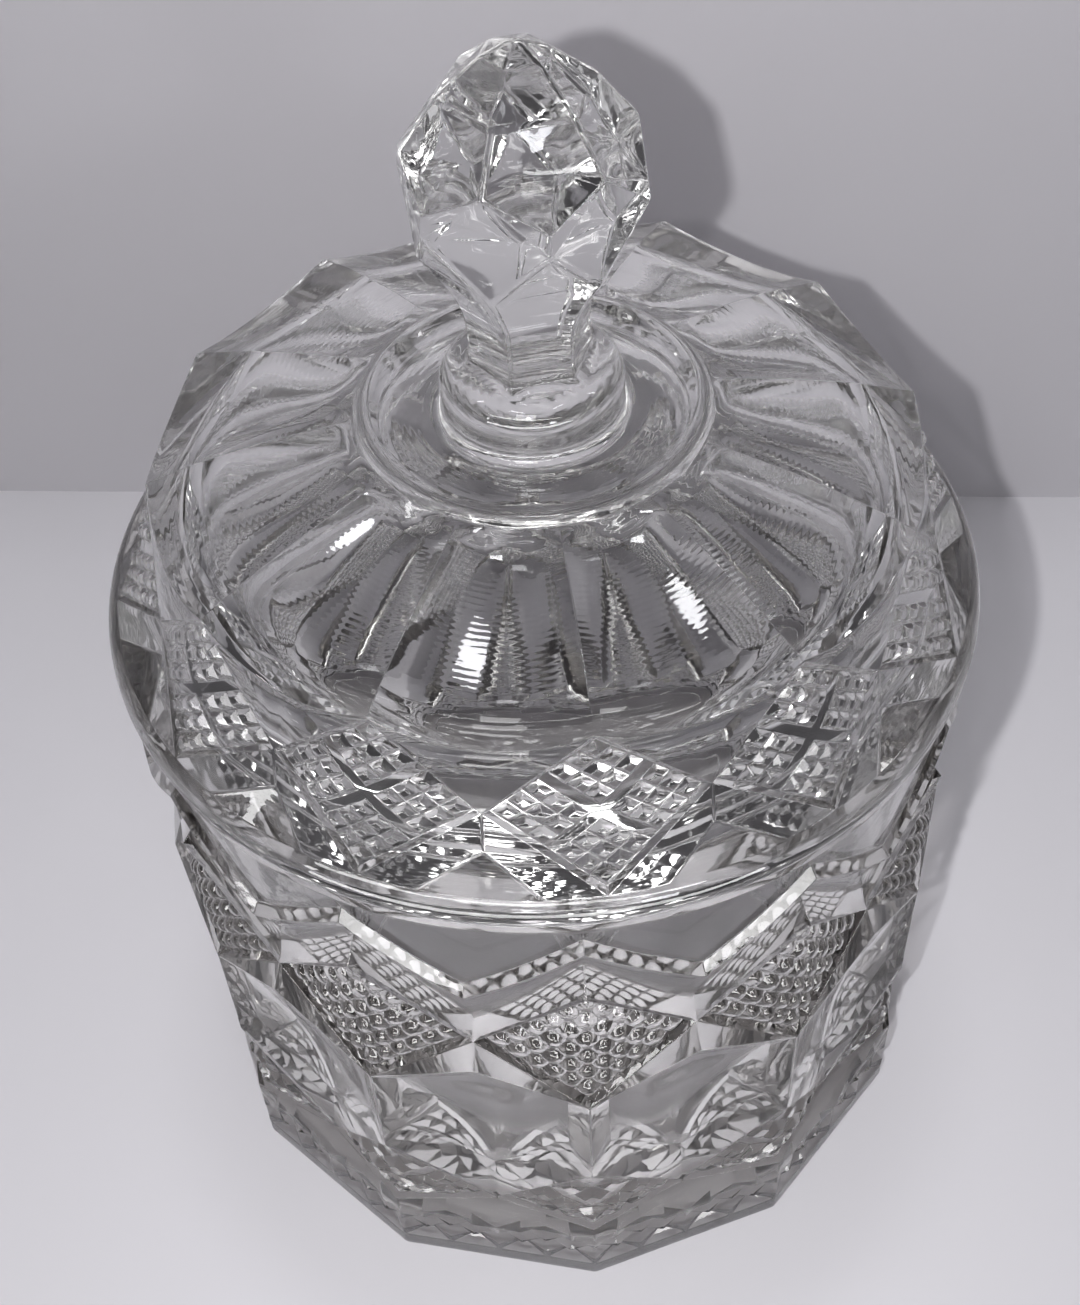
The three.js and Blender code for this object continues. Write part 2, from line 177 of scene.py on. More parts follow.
def smooth_rows(rows, steps):
    """More rows, on a smooth curve through the given ones."""
    spread = []
    for k in range(len(rows) - 1):
        before, a, b, after = rows[max(k - 1, 0)], rows[k], rows[k + 1], rows[min(k + 2, len(rows) - 1)]
        for i in range(steps):
            t = i / steps
            spread.append(tuple(
                q + 0.5 * t * (r - p + t * (2 * p - 5 * q + 4 * r - s + t * (3 * (q - r) + s - p)))
                for p, q, r, s in zip(before, a, b, after)
            ))
    return spread + [tuple(rows[-1])]


class Skin:
    """Faces of a closed surface. Faces of one patch shade smoothly into each other."""

    def __init__(self):
        self.faces = []
        self.patch = 0

    def start(self):
        self.patch += 1

    def face(self, *points):
        kept = [p for k, p in enumerate(points) if (p - points[k - 1]).length > 1e-4]
        if len(kept) > 2:
            self.faces.append((self.patch, kept))

    def strip(self, outer, inner):
        """Fills the strip between two lines that both run anticlockwise seen from outside."""
        if len(outer) == len(inner):
            for k in range(len(outer) - 1):
                self.face(outer[k], outer[k + 1], inner[k + 1], inner[k])
            return
        i = j = 0
        outer_count, inner_count = len(outer) - 1, len(inner) - 1
        while i < outer_count or j < inner_count:
            outer_first = (i + 1) * inner_count <= (j + 1) * outer_count
            if j == inner_count or (i < outer_count and outer_first):
                self.face(outer[i], outer[i + 1], inner[j])
                i += 1
            else:
                self.face(outer[i], inner[j + 1], inner[j])
                j += 1

    def strips(self, lines):
        for outer, inner in zip(lines, lines[1:]):
            self.strip(outer, inner)

    def facets(self, outer, inner):
        """A strip whose faces each are a facet of their own."""
        first = len(self.faces)
        self.strip(outer, inner)
        for k in range(first, len(self.faces)):
            self.start()
            self.faces[k] = (self.patch, self.faces[k][1])

    def add(self, other, matrix=None, flip=False):
        for patch, points in other.faces:
            moved = [matrix @ p for p in points] if matrix else points
            self.faces.append((self.patch + 1 + patch, moved[::-1] if flip else moved))
        self.patch += other.patch + 2

    def mirror(self):
        copy = Skin()
        copy.add(self)
        self.add(copy, Matrix.Scale(-1, 4, (1, 0, 0)), flip=True)

    def repeat(self, count, turn):
        whole = Skin()
        for k in range(count):
            whole.add(self, Matrix.Rotation(math.radians(turn + 360 * k / count), 4, "Z"))
        return whole


def facing(corners):
    return (corners[1] - corners[3]).cross(corners[2] - corners[0]).normalized()


def sheet(corners, bulge):
    """Corners run bottom, right, top, left; the bulge lifts the middle of the sheet."""
    normal = facing(corners)

    def point(u, v):
        low, high = corners[0].lerp(corners[1], u), corners[3].lerp(corners[2], u)
        return low.lerp(high, v) + normal * (bulge * 16 * u * (1 - u) * v * (1 - v))

    return point


def pyramid_nail(skin, corners, normal, rise):
    middle = sum(corners, Vector()) / 4
    top = [middle.lerp(p, NAIL_TOP) + normal * rise for p in corners]
    for k in range(4):
        skin.start()
        skin.face(corners[k], corners[(k + 1) % 4], top[(k + 1) % 4], top[k])
    skin.start()
    skin.face(*top)


def round_nail(skin, corners, normal, rise):
    cells = ROUND_NAIL_CELLS

    def point(i, j):
        u, v = i / cells, j / cells
        flat = corners[0].lerp(corners[1], u).lerp(corners[3].lerp(corners[2], u), v)
        lift = (1 - abs(2 * u - 1) ** 2.6) * (1 - abs(2 * v - 1) ** 2.6)
        return flat + normal * (rise * lift)

    skin.start()
    for i in range(cells):
        for j in range(cells):
            skin.face(point(i, j), point(i + 1, j), point(i + 1, j + 1), point(i, j + 1))


def even_breaks(count):
    return [i / count for i in range(count + 1)]


def quartered_breaks(count):
    low = [t * (0.5 - CHANNEL_HALF) for t in even_breaks(count)]
    return low + [1 - t for t in reversed(low)]


def add_nails(skin, point, normal, breaks, channel, rise, nail):
    for i in range(len(breaks) - 1):
        for j in range(len(breaks) - 1):
            corners = [
                point(breaks[i], breaks[j]), point(breaks[i + 1], breaks[j]),
                point(breaks[i + 1], breaks[j + 1]), point(breaks[i], breaks[j + 1]),
            ]
            if channel in (i, j):
                skin.start()
                skin.face(*corners)
            else:
                nail(skin, corners, normal, rise)


def split(line, steps):
    """The same line with more points on each of its straight stretches."""
    return [p for a, b in zip(line, line[1:]) for p in edge(a, b, steps)[:-1]] + line[-1:]


def add_diamond(skin, rims, depth, bulge, breaks, channel, rise, nail):
    """A framed diamond: four rim lines anticlockwise from the bottom, then the sunk field."""
    corners = [line[0] for line in rims]
    normal = facing(corners)
    middle = sum(corners, Vector()) / 4
    floor = [p.lerp(middle, FRAME_SHARE) - normal * depth for p in corners]
    point = sheet(floor, bulge)
    sides = [
        [point(t, 0) for t in breaks], [point(1, t) for t in breaks],
        [point(1 - t, 1) for t in breaks], [point(0, 1 - t) for t in breaks],
    ]
    for line, side in zip(rims, sides):
        skin.start()
        skin.strip(line, split(side, ROUND_NAIL_CELLS if nail is round_nail else 1))
    add_nails(skin, point, normal, breaks, channel, rise, nail)


def relaxed(heights, flat):
    """Heights over a wheel of points, evened out inwards from its rim like a soap film."""
    def share(step):
        return 1 / np.maximum((step ** 2).sum(-1), 1e-6)

    across = share(flat[1:] - flat[:-1])
    along = share(np.roll(flat, -1, 1) - flat)
    behind = np.roll(along, 1, 1)
    for _ in range(RELAX_ROUNDS):
        inner = np.vstack([heights[2:], np.full_like(heights[:1], heights[-1].mean())])
        inner_share = np.vstack([across[1:], across[-1:]])
        total = across * heights[:-1] + inner_share * inner
        total += along[1:] * np.roll(heights, -1, 1)[1:] + behind[1:] * np.roll(heights, 1, 1)[1:]
        heights[1:] = total / (across + inner_share + along[1:] + behind[1:])
    return heights


def add_dish(skin, corners, normal, depth, steps, rings):
    """A smooth hollow inside a closed line of corners, deepest in its middle."""
    count = len(corners)
    middle = sum(corners, Vector()) / count
    sides = [normal.cross(corners[(k + 1) % count] - corners[k]).normalized() for k in range(count)]
    loop = [p for k in range(count) for p in edge(corners[k], corners[(k + 1) % count], steps)[:-1]]
    wheel = [[middle.lerp(p, 1 - k / rings) for p in loop] for k in range(rings)]
    flat = np.array([[p - normal * (p - middle).dot(normal) for p in line] for line in wheel])
    heights = np.array([[(p - middle).dot(normal) for p in line] for line in wheel])
    heights = relaxed(heights, flat)
    sunk = np.ones_like(heights)
    for corner, inward in zip(corners, sides):
        sunk *= np.maximum((flat - corner) @ inward, 0) / (middle - corner).dot(inward)
    sunk[0] = 0
    heights -= depth * sunk
    lines = [loop + loop[:1]]
    for line, rise in zip(flat[1:], heights[1:]):
        points = [Vector(p) + normal * h for p, h in zip(line, rise)]
        lines.append(points + points[:1])
    centre = middle + normal * (heights[-1].mean() - depth * (1 - sunk[-1].mean()))
    skin.start()
    skin.strips(lines)
    for a, b in zip(lines[-1], lines[-1][1:]):
        skin.face(a, b, centre)


# Jar ---------------------------------------------------------------------------------------------


def add_zigzag_band(skin):
    def slope(peak, valley):
        return half_curve(lambda t: at(HALF * t, peak[0] + (valley[0] - peak[0]) * t, peak[1] + (valley[1] - peak[1]) * t))

    groove = slope(GROOVE_PEAK, GROOVE_VALLEY)
    ridge = slope(ZIGZAG_PEAK, ZIGZAG_VALLEY)
    lower = edge(on_column(UPPER_TOP), midway(UPPER_SIDE), HALF_STEPS)
    skin.start()
    lines = []
    for k in range(SWAG_LINES + 1):
        s = k / SWAG_LINES
        line = []
        for p, q in zip(lower, groove):
            point = p.lerp(q, s)
            share = 1 - SWAG_DIP * 4 * s * (1 - s) / math.hypot(point.x, point.y)
            line.append(Vector((point.x * share, point.y * share, point.z)))
        lines.append(line)
    skin.strips(lines)
    skin.start()
    skin.strip(groove, ridge)
    brow = slope(BROW_PEAK, BROW_VALLEY)
    skin.start()
    skin.strip(ridge, brow)
    skin.start()
    skin.strip(brow, half_curve(lambda t: at(HALF * t, *LIP[0])))


def add_lip_and_cavity(skin):
    skin.start()
    skin.strips([ring(corner) for corner in LIP])
    skin.start()
    profile = smooth_rows(CAVITY, 3)
    skin.strips([ring(corner) for corner in profile[:-1]])
    inner = ring(profile[-2])
    for a, b in zip(inner, inner[1:]):
        skin.face(a, b, Vector((0, 0, CAVITY[-1][1])))


def upper_diamond(skin):
    top, side, bottom = on_column(UPPER_TOP), midway(UPPER_SIDE), on_column(UPPER_BOTTOM)
    rims = [
        edge(bottom, side, UPPER_NAILS), edge(side, top, HALF_STEPS),
        edge(top, left_of(side), HALF_STEPS), edge(left_of(side), bottom, UPPER_NAILS),
    ]
    add_diamond(skin, rims, NAIL_DEPTH, UPPER_BULGE, even_breaks(UPPER_NAILS), -1, NAIL_RISE, round_nail)


def lower_diamond(skin):
    top, side, bottom = on_column(LOWER_TOP), midway(LOWER_SIDE), on_column(LOWER_BOTTOM)
    rims = [
        edge(bottom, side, FOOT_CELLS), edge(side, top, 1),
        edge(top, left_of(side), 1), edge(left_of(side), bottom, FOOT_CELLS),
    ]
    breaks = quartered_breaks(LOWER_NAILS)
    add_diamond(skin, rims, NAIL_DEPTH, LOWER_BULGE, breaks, LOWER_NAILS, NAIL_RISE, pyramid_nail)


def add_window(skin):
    """Built with the window's own middle at the front, so the columns are half a step either side."""
    top, bottom = at(0, *WINDOW_TOP), at(0, *WINDOW_BOTTOM)
    right = [at(HALF, *WINDOW_CORNER), at(HALF, *UPPER_BOTTOM)]
    corners = [bottom, *right, top, left_of(right[1]), left_of(right[0])]
    normal = facing([bottom, right[0], top, left_of(right[0])])
    middle = sum(corners, Vector()) / len(corners)
    inset = [middle.lerp(p, WINDOW_INSET) - normal * WINDOW_RECESS for p in corners]
    for k in range(len(corners)):
        after = (k + 1) % len(corners)
        skin.start()
        skin.strip([corners[k], corners[after]], edge(inset[k], inset[after], 8))
    add_dish(skin, inset, normal, WINDOW_DISH, 8, 10)


def add_window_border(skin):
    skin.start()
    skin.face(*edge(on_column(UPPER_BOTTOM), midway(WINDOW_TOP), 1), *edge(midway(UPPER_SIDE), on_column(UPPER_BOTTOM), UPPER_NAILS)[:-1])
    skin.start()
    skin.strip([on_column(LOWER_TOP), midway(LOWER_SIDE)], [on_column(WINDOW_CORNER), midway(WINDOW_BOTTOM)])


def foot_wall(share, height, depth):
    corner = at(0, FOOT_COLUMN_RADIUS - depth, height)
    return corner.lerp(at(HALF, FOOT_FLAT_RADIUS - depth, height), share)


def add_foot_field(skin, border):
    """A staggered field of points on the foot, with its own toothed upper border."""
    row_height = (FOOT_FIELD_TOP - FOOT_FIELD_BOTTOM) / FOOT_ROWS

    def top_row(i):
        return abs(i - FOOT_TOOTH)

    def low(i, row):
        on_border = row in (top_row(i), FOOT_ROWS)
        depth = 0 if on_border else FOOT_NAIL_DEPTH
        return foot_wall(i / FOOT_CELLS, FOOT_FIELD_TOP - row * row_height, depth)

    for i in range(FOOT_CELLS + 1):
        for row in range(top_row(i) + 1, FOOT_ROWS, 2):
            peak = foot_wall(i / FOOT_CELLS, FOOT_FIELD_TOP - row * row_height, 0)
            if i < FOOT_CELLS:
                skin.facets([low(i, row + 1), low(i + 1, row), low(i, row - 1)], [peak])
            if i > 0:
                skin.facets([low(i, row - 1), low(i - 1, row), low(i, row + 1)], [peak])
    last_row = []
    for i in range(0, FOOT_CELLS, 2):
        skin.start()
        skin.face(low(i, FOOT_ROWS), low(i + 2, FOOT_ROWS), low(i + 1, FOOT_ROWS - 1))
        last_row.append(low(i, FOOT_ROWS))
    last_row.append(low(FOOT_CELLS, FOOT_ROWS))
    teeth = [low(i, top_row(i)) for i in range(FOOT_CELLS + 1)]
    skin.facets(teeth, border)
    return last_row


def add_foot(skin):
    side = midway(LOWER_SIDE)
    lower_edge = edge(on_column(LOWER_BOTTOM), side, FOOT_CELLS)
    half = lower_edge[FOOT_TOOTH]
    kite_edge = edge(half, midway(KITE_BOTTOM), FOOT_TOOTH)
    skin.start()
    skin.face(*kite_edge, side)
    skin.face(half, side, *lower_edge[FOOT_TOOTH + 1:-1][::-1])
    lowest = add_foot_field(skin, lower_edge[:FOOT_TOOTH] + kite_edge)
    bend = [foot_wall(t, FOOT_EDGE_HEIGHT, 0) for t in (0, 0.5, 1)]
    sole = [foot_wall(t, 0, FOOT_EDGE_INSET) for t in (0, 0.5, 1)]
    skin.start()
    skin.strip(bend, lowest)
    skin.start()
    skin.strip(sole, bend)
    skin.start()
    skin.strip(ring_half(RECESS[-1]), sole)
    skin.start()
    inner = ring_half(RECESS[1])
    for a, b in zip(inner, inner[1:]):
        skin.face(Vector((0, 0, RECESS[0][1])), b, a)
    skin.strips([ring_half(corner) for corner in RECESS[1:]])


def ring_half(corner):
    return half_curve(lambda t: at(HALF * t, *corner))


def jar_skin():
    whole = Skin()
    add_zigzag_band(whole)
    add_window_border(whole)
    add_foot(whole)
    whole.mirror()
    upper_diamond(whole)
    lower_diamond(whole)
    add_lip_and_cavity(whole)
    window = Skin()
    add_window(window)
    skin = whole.repeat(COLUMNS, JAR_TURN)
    skin.add(window.repeat(COLUMNS, JAR_TURN + HALF))
    return skin


# Lid ---------------------------------------------------------------------------------------------


def add_lid_inside(skin):
    profile = smooth_rows(HOLLOW, 3)
    skin.start()
    first = ring(profile[1])
    for a, b in zip(first, first[1:]):
        skin.face(Vector((0, 0, HOLLOW[0][1])), b, a)
    skin.strips([ring(corner) for corner in profile[1:]])
    for a, b in zip(PLUG, PLUG[1:]):
        skin.start()
        skin.strip(ring(a), ring(b))
    skin.start()
    skin.strips([ring(corner) for corner in smooth_rows(RIM, 2)])


def add_lid_side(skin):
    ledge = ring_half(RIM[-1])
    peak, junction = midway(PEAK), midway(JUNCTION)
    middle = HALF_STEPS // 2
    skin.start()
    skin.face(*ledge[middle:], peak)
    skin.start()
    skin.face(*ledge[:middle + 1], peak, junction)


def lid_diamond(skin):
    bottom, side, top = on_column(RIM[-1]), midway(JUNCTION), on_column(TIP)
    rims = [
        edge(bottom, side, 1), edge(side, top, 1),
        edge(top, left_of(side), 1), edge(left_of(side), bottom, 1),
    ]
    breaks = quartered_breaks(LID_NAILS)
    add_diamond(skin, rims, LID_FRAME_DEPTH, LID_BULGE, breaks, LID_NAILS, LID_NAIL_RISE, pyramid_nail)


def add_flute(skin):
    def line(row):
        ridge, hollow, height, depth = row

        def point(t):
            sag = 1 - (1 - t) ** 2
            return at(HALF * t, ridge + (hollow - ridge) * sag, height - depth * sag)

        return half_curve(point)

    lines = [line(row) for row in smooth_rows(FLUTES, 4)]
    skin.start()
    skin.face(lines[0][0], midway(JUNCTION), *reversed(lines[0][1:]))
    skin.start()
    skin.strips(lines)


def add_collar(skin):
    skin.start()
    skin.strips([ring(corner) for corner in smooth_rows(COLLAR, 2)])


def knob_ring(corner, steps):
    """A six-sided line of points round the whole stem."""
    corners = [at(KNOB_TURN - KNOB_HALF + 2 * KNOB_HALF * k, *corner) for k in range(KNOB_SIDES)]
    loop = [p for k in range(KNOB_SIDES) for p in edge(corners[k], corners[(k + 1) % KNOB_SIDES], steps)[:-1]]
    return loop + loop[:1]


def add_stem_foot(skin):
    """The strip of bulb between the last round ring and the six-sided foot of the stem."""
    steps = COLUMNS * RING_STEPS // KNOB_SIDES
    foot = knob_ring(STEM[-1], steps)
    first = LID_TURN - HALF
    outer = [at(first + 360 * k / (len(foot) - 1), *COLLAR[-1]) for k in range(len(foot))]
    start = min(range(len(foot) - 1), key=lambda k: (foot[k] - outer[0]).length)
    turned = foot[start:-1] + foot[:start + 1]
    skin.start()
    skin.strip(outer, turned)


def knob_side():
    def corner(side, place):
        return at(side * KNOB_HALF, *place)

    skin = Skin()
    notch, point = at(0, *NOTCH_RING), at(0, *POINT_RING)
    apex = Vector((0, 0, APEX_HEIGHT))
    right, left = 1, -1
    skin.start()
    skin.face(corner(left, TABLE_RING), corner(right, TABLE_RING), apex)
    skin.start()
    crown = edge(corner(left, CROWN_RING), corner(right, CROWN_RING), KNOB_EDGE_STEPS)
    skin.face(*crown, corner(right, TABLE_RING), corner(left, TABLE_RING))
    shield = [
        notch, corner(right, GIRDLE_RING), corner(right, CROWN_RING),
        corner(left, CROWN_RING), corner(left, GIRDLE_RING),
    ]
    add_dish(skin, shield, Vector((0, -1, 0.6)).normalized(), SHIELD_DISH, KNOB_EDGE_STEPS, 10)
    for side in (left, right):
        girdle = corner(side, GIRDLE_RING)
        sliver = edge(point, girdle, KNOB_EDGE_STEPS)[:-1] + edge(girdle, notch, KNOB_EDGE_STEPS)
        skin.start()
        skin.face(*(sliver if side == right else sliver[::-1]))
    rhombus = [point, corner(right, CHIN_RING), at(2 * KNOB_HALF, *POINT_RING), corner(right, GIRDLE_RING)]
    add_dish(skin, rhombus, facing(rhombus), RHOMBUS_DISH, KNOB_EDGE_STEPS, 8)
    chin = [corner(left, CHIN_RING), corner(right, CHIN_RING), point]
    add_dish(skin, chin, (chin[1] - chin[0]).cross(chin[2] - chin[0]).normalized(), CHIN_DISH, KNOB_EDGE_STEPS, 8)
    steps = COLUMNS * RING_STEPS // KNOB_SIDES
    rings = [edge(corner(left, place), corner(right, place), steps) for place in reversed(smooth_rows(STEM, 3))]
    skin.start()
    skin.strips(rings[:-1])
    skin.strip(rings[-2], edge(chin[0], chin[1], KNOB_EDGE_STEPS))
    return skin.repeat(KNOB_SIDES, KNOB_TURN)


def lid_skin():
    whole = Skin()
    add_lid_side(whole)
    add_flute(whole)
    whole.mirror()
    lid_diamond(whole)
    add_lid_inside(whole)
    add_collar(whole)
    skin = whole.repeat(COLUMNS, LID_TURN)
    add_stem_foot(skin)
    skin.add(knob_side())
    return skin


# Meshes ------------------------------------------------------------------------------------------


def fill_mesh(skin):
    """One closed mesh from the faces of a skin, with each face's patch kept on it."""
    mesh = bmesh.new()
    patch = mesh.faces.layers.int.new("patch")
    for number, points in skin.faces:
        face = mesh.faces.new([mesh.verts.new(p) for p in points])
        face[patch] = number
    bmesh.ops.remove_doubles(mesh, verts=mesh.verts, dist=0.002)
    return mesh


def wave(mesh):
    """Lets the surface wander inwards a little, as pressed glass does."""
    mesh.normal_update()
    moves = []
    for v in mesh.verts:
        share = 0.5 + 0.5 * noise.noise(v.co / WAVE_LENGTH)
        on_sole = v.co.z < 0.01
        moves.append(Vector() if on_sole else v.normal * (-WAVE_DEPTH * share))
    for v, move in zip(mesh.verts, moves):
        v.co += move


def mark_edges(mesh):
    """Gives each crease between two patches a small rounding."""
    patch = mesh.faces.layers.int["patch"]
    weight = mesh.edges.layers.float.new("bevel_weight_edge")
    for e in mesh.edges:
        if len(e.link_faces) != 2:
            raise RuntimeError(f"the surface isn't closed at {e.verts[0].co} {e.verts[1].co}")
        a, b = e.link_faces
        if a[patch] != b[patch] and e.calc_face_angle(0) > SHARP_TURN:
            shortest = min(f.calc_area() for f in (a, b)) ** 0.5
            on_knob = e.verts[0].co.z > KNOB_FOOT
            on_sliver = max(len(f.verts) for f in (a, b)) > 2 * KNOB_EDGE_STEPS
            if on_knob:
                e[weight] = NAIL_WEIGHT if on_sliver else 1
            else:
                e[weight] = PRESSED_WEIGHT if shortest > 3 else NAIL_WEIGHT


def add_piece(name, skin, material):
    mesh = fill_mesh(skin)
    wave(mesh)
    mark_edges(mesh)
    mesh.transform(Matrix.Scale(MM, 4))
    data = bpy.data.meshes.new(name)
    mesh.to_mesh(data)
    mesh.free()
    data.shade_smooth()
    data.materials.append(material)
    piece = bpy.data.objects.new(name, data)
    bpy.context.scene.collection.objects.link(piece)
    soften = piece.modifiers.new("soft edges", "BEVEL")
    soften.limit_method = "WEIGHT"
    soften.width = SOFT_EDGE * MM
    soften.segments = 2
    soften.use_clamp_overlap = False
    normals = piece.modifiers.new("flat facets", "WEIGHTED_NORMAL")
    normals.keep_sharp = False
    normals.weight = 90
    return piece


# Materials ---------------------------------------------------------------------------------------


JAR_TINT = (0.97, 0.97, 0.966)
JAR_FILM = (0.76, 0.755, 0.755)
JAR_SHADE = (0.6, 0.585, 0.56)
JAR_SHADE_DENSITY = 28
LID_TINT = (0.975, 0.975, 0.975)
LID_FILM = (0.45, 0.44, 0.455)
LID_SHADE = (0.7, 0.7, 0.68)
LID_SHADE_DENSITY = 10


def glass_material(name, tint, film_tint, shade, shade_density, ripple, ripple_scale):
    material = bpy.data.materials.new(name)
    material.use_nodes = True
    nodes, links = material.node_tree.nodes, material.node_tree.links
    shader = nodes["Principled BSDF"]
    shader.inputs["Base Color"].default_value = (*tint, 1)
    shader.inputs["Transmission Weight"].default_value = 1
    shader.inputs["IOR"].default_value = 1.53
    place = nodes.new("ShaderNodeTexCoord")

    smear = nodes.new("ShaderNodeTexNoise")
    smear.inputs["Scale"].default_value = 90
    smear.inputs["Detail"].default_value = 4
    links.new(place.outputs["Object"], smear.inputs["Vector"])
    gloss = nodes.new("ShaderNodeMapRange")
    gloss.inputs["From Min"].default_value = 0.35
    gloss.inputs["From Max"].default_value = 0.75
    gloss.inputs["To Min"].default_value = 0.01
    gloss.inputs["To Max"].default_value = 0.07
    links.new(smear.outputs["Fac"], gloss.inputs["Value"])
    links.new(gloss.outputs["Result"], shader.inputs["Roughness"])

    peel = nodes.new("ShaderNodeTexNoise")
    peel.inputs["Scale"].default_value = 260
    peel.inputs["Detail"].default_value = 2
    links.new(place.outputs["Object"], peel.inputs["Vector"])
    soft = nodes.new("ShaderNodeBump")
    soft.inputs["Strength"].default_value = 1
    soft.inputs["Distance"].default_value = 0.00002
    links.new(peel.outputs["Fac"], soft.inputs["Height"])

    chill = nodes.new("ShaderNodeTexWave")
    chill.wave_type = "RINGS"
    chill.rings_direction = "Z"
    chill.inputs["Scale"].default_value = ripple_scale
    chill.inputs["Distortion"].default_value = 1.2
    chill.inputs["Detail"].default_value = 2
    chill.inputs["Detail Scale"].default_value = 1.5
    links.new(place.outputs["Object"], chill.inputs["Vector"])
    patches = nodes.new("ShaderNodeTexNoise")
    patches.inputs["Scale"].default_value = 45
    links.new(place.outputs["Object"], patches.inputs["Vector"])
    amount = nodes.new("ShaderNodeMapRange")
    amount.inputs["From Min"].default_value = 0.4
    amount.inputs["From Max"].default_value = 0.65
    links.new(patches.outputs["Fac"], amount.inputs["Value"])
    fine = nodes.new("ShaderNodeBump")
    fine.inputs["Distance"].default_value = ripple
    links.new(amount.outputs["Result"], fine.inputs["Strength"])
    links.new(chill.outputs["Fac"], fine.inputs["Height"])
    links.new(soft.outputs["Normal"], fine.inputs["Normal"])
    links.new(fine.outputs["Normal"], shader.inputs["Normal"])

    deep = nodes.new("ShaderNodeVolumeAbsorption")
    deep.inputs["Color"].default_value = (*shade, 1)
    deep.inputs["Density"].default_value = shade_density
    links.new(deep.outputs["Volume"], nodes["Material Output"].inputs["Volume"])

    # Lamps shine through the glass as through a tinted film, so shadows stay soft and pale
    rays = nodes.new("ShaderNodeLightPath")
    either = nodes.new("ShaderNodeMath")
    either.operation = "MAXIMUM"
    links.new(rays.outputs["Is Shadow Ray"], either.inputs[0])
    links.new(rays.outputs["Is Diffuse Ray"], either.inputs[1])
    film = nodes.new("ShaderNodeBsdfTransparent")
    film.inputs["Color"].default_value = (*film_tint, 1)
    mix = nodes.new("ShaderNodeMixShader")
    links.new(either.outputs["Value"], mix.inputs["Fac"])
    links.new(shader.outputs["BSDF"], mix.inputs[1])
    links.new(film.outputs["BSDF"], mix.inputs[2])
    links.new(mix.outputs["Shader"], nodes["Material Output"].inputs["Surface"])
    return material


def stage_material(name, color, roughness, seen_from_behind=True):
    material = bpy.data.materials.new(name)
    material.use_nodes = True
    nodes, links = material.node_tree.nodes, material.node_tree.links
    shader = nodes["Principled BSDF"]
    shader.inputs["Roughness"].default_value = roughness
    place = nodes.new("ShaderNodeTexCoord")
    cloud = nodes.new("ShaderNodeTexNoise")
    cloud.inputs["Scale"].default_value = 9
    cloud.inputs["Detail"].default_value = 3
    links.new(place.outputs["Object"], cloud.inputs["Vector"])
    tone = nodes.new("ShaderNodeMix")
    tone.data_type = "RGBA"
    tone.inputs[6].default_value = (*(0.93 * c for c in color), 1)
    tone.inputs[7].default_value = (*color, 1)
    links.new(cloud.outputs["Fac"], tone.inputs["Factor"])
    links.new(tone.outputs[2], shader.inputs["Base Color"])
    if not seen_from_behind:
        side = nodes.new("ShaderNodeNewGeometry")
        clear = nodes.new("ShaderNodeBsdfTransparent")
        mix = nodes.new("ShaderNodeMixShader")
        links.new(side.outputs["Backfacing"], mix.inputs["Fac"])
        links.new(shader.outputs["BSDF"], mix.inputs[1])
        links.new(clear.outputs["BSDF"], mix.inputs[2])
        links.new(mix.outputs["Shader"], nodes["Material Output"].inputs["Surface"])
    return material


# Stage, light and camera -------------------------------------------------------------------------

WALL_DISTANCE = 0.122
WALL_TURN = -4.85
WALL_HEIGHT = 0.34
STAGE_SIZE = 3


def add_plane(name, corners, material):
    data = bpy.data.meshes.new(name)
    data.from_pydata(corners, [], [(0, 1, 2, 3)])
    data.materials.append(material)
    plane = bpy.data.objects.new(name, data)
    bpy.context.scene.collection.objects.link(plane)
    return plane


def add_stage():
    s = STAGE_SIZE
    add_plane("floor", [(-s, -s, 0), (s, -s, 0), (s, s, 0), (-s, s, 0)], stage_material("table", (0.73, 0.726, 0.755), 0.45))
    paint = stage_material("wall paint", (0.52, 0.512, 0.54), 0.6, seen_from_behind=False)
    wall = add_plane("wall", [(-s, 0, 0), (s, 0, 0), (s, 0, WALL_HEIGHT), (-s, 0, WALL_HEIGHT)], paint)
    wall.location.y = WALL_DISTANCE
    wall.rotation_euler.z = math.radians(WALL_TURN)


def add_lamp(name, place, aim, size, power, color=(1, 1, 1)):
    data = bpy.data.lights.new(name, "AREA")
    data.shape = "RECTANGLE"
    data.size, data.size_y = size
    data.energy = power
    data.color = color
    lamp = bpy.data.objects.new(name, data)
    bpy.context.scene.collection.objects.link(lamp)
    lamp.location = place
    lamp.rotation_mode = "QUATERNION"
    lamp.rotation_quaternion = (Vector(place) - Vector(aim)).to_track_quat("Z", "Y")
    return lamp


def around(azimuth, elevation, distance):
    """A point seen from the middle of the lid in that direction."""
    e = math.radians(elevation)
    return LID_CENTRE + at(azimuth, math.cos(e), math.sin(e)) * distance


LID_CENTRE = Vector((0, 0, 0.12))
FLASH_PLACE = (-0.022, -0.175, 0.281)


# Strips of light that only show up in the glass: azimuth, elevation, width and height
GLINTS = [
    (-86, 47, 0.03, 0.2), (-54, 16, 0.04, 0.12), (-29, 60, 0.2, 0.03), (3, 22, 0.16, 0.03),
    (48, 64, 0.16, 0.03), (92, 42, 0.03, 0.16), (-12, 37, 1.4, 0.05), (-5, 7, 2, 0.1),
]
GLINT_BRIGHTNESS = 36


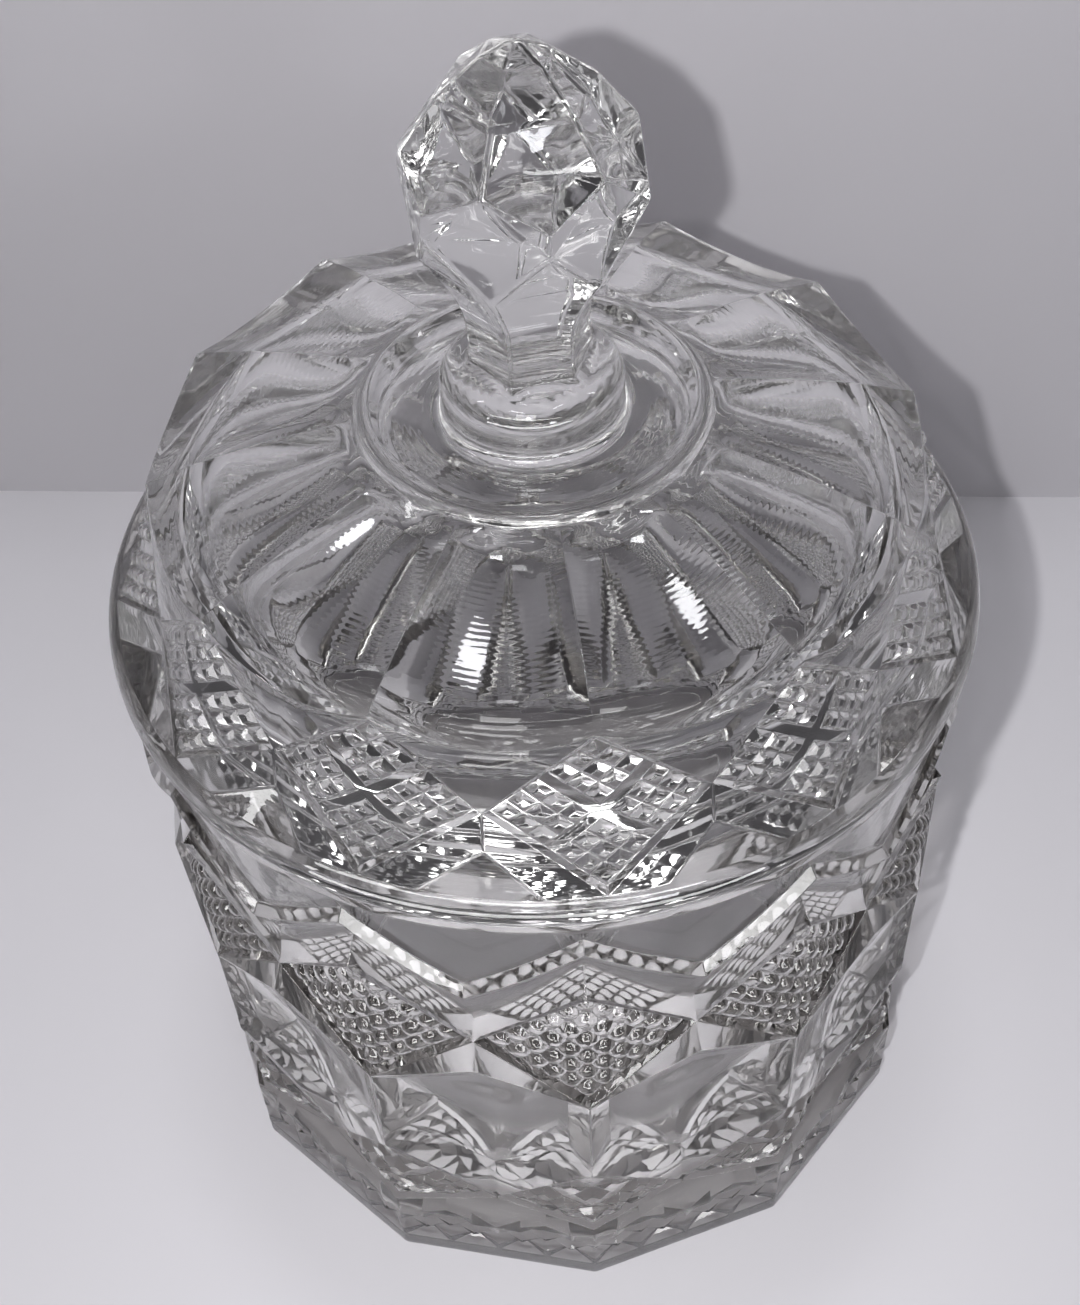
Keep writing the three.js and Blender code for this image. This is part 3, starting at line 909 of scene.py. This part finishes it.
def add_lights():
    add_lamp("flash", FLASH_PLACE, LID_CENTRE, (0.004, 0.004), 0.7, (1, 0.98, 1))
    add_lamp("fill", around(-12, 42, 0.9), LID_CENTRE, (0.3, 0.3), 1.7, (1, 0.99, 0.99))
    add_lamp("card", around(21, 18, 0.8), LID_CENTRE, (0.1, 0.1), 0.5, (0.95, 0.96, 1))
    add_lamp("ceiling", around(180, 83, 1), LID_CENTRE, (0.16, 0.12), 1.2, (0.97, 0.97, 1))
    for azimuth, elevation, width, height in GLINTS:
        power = GLINT_BRIGHTNESS * width * height
        glint = add_lamp("glint", around(azimuth, elevation, 0.9), LID_CENTRE, (width, height), power)
        glint.visible_diffuse = False
    world = bpy.data.worlds.new("room")
    bpy.context.scene.world = world
    world.use_nodes = True
    sky = world.node_tree.nodes["Background"]
    sky.inputs["Color"].default_value = (0.055, 0.053, 0.057, 1)
    sky.inputs["Strength"].default_value = 1


CAMERA_ELEVATION = 45.304
CAMERA_DISTANCE = 0.24822
CAMERA_AIM_HEIGHT = 0.1042
CAMERA_PAN = -0.2008
CAMERA_TILT = -3.1806
CAMERA_ROLL = -3.0007
CAMERA_LENS = 49.29


def add_camera():
    """The camera looks at the middle of the lid's rim, then pans, tilts and rolls a little."""
    e = math.radians(CAMERA_ELEVATION)
    back = Vector((0, -math.cos(e), math.sin(e)))
    data = bpy.data.cameras.new("camera")
    data.lens = CAMERA_LENS
    data.sensor_width = 36
    data.clip_start = 0.01
    camera = bpy.data.objects.new("camera", data)
    bpy.context.scene.collection.objects.link(camera)
    camera.location = Vector((0, 0, CAMERA_AIM_HEIGHT)) + back * CAMERA_DISTANCE
    aim = Matrix.Rotation(math.radians(90 - CAMERA_ELEVATION), 4, "X")
    pan = Matrix.Rotation(-math.radians(CAMERA_PAN), 4, "Y")
    tilt = Matrix.Rotation(math.radians(CAMERA_TILT), 4, "X")
    roll = Matrix.Rotation(math.radians(CAMERA_ROLL), 4, "Z")
    camera.rotation_mode = "QUATERNION"
    camera.rotation_quaternion = (aim @ pan @ tilt @ roll).to_quaternion()
    bpy.context.scene.camera = camera


def set_light_paths():
    bpy.context.scene.view_settings.view_transform = "Standard"
    cycles = bpy.context.scene.cycles
    cycles.max_bounces = 24
    cycles.transmission_bounces = 24
    cycles.glossy_bounces = 12
    cycles.diffuse_bounces = 3
    cycles.transparent_max_bounces = 24
    cycles.caustics_reflective = False
    cycles.caustics_refractive = False
    cycles.sample_clamp_indirect = 6
    cycles.blur_glossy = 0.5


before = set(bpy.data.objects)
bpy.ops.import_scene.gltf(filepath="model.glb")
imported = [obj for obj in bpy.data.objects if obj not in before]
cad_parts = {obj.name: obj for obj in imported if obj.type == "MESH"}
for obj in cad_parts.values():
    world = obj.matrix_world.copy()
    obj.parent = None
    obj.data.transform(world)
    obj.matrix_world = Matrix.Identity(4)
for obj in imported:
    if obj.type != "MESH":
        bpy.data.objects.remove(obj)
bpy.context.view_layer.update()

jar = add_piece("crystal_jar", jar_skin(), glass_material("jar crystal", JAR_TINT, JAR_FILM, JAR_SHADE, JAR_SHADE_DENSITY, 0.00001, 140))
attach(jar, "jar")
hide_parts("jar")

lid = add_piece("crystal_lid", lid_skin(), glass_material("lid crystal", LID_TINT, LID_FILM, LID_SHADE, LID_SHADE_DENSITY, 0.000007, 380))
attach(lid, "lid")
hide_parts("lid")

add_stage()
add_lights()
add_camera()
set_light_paths()
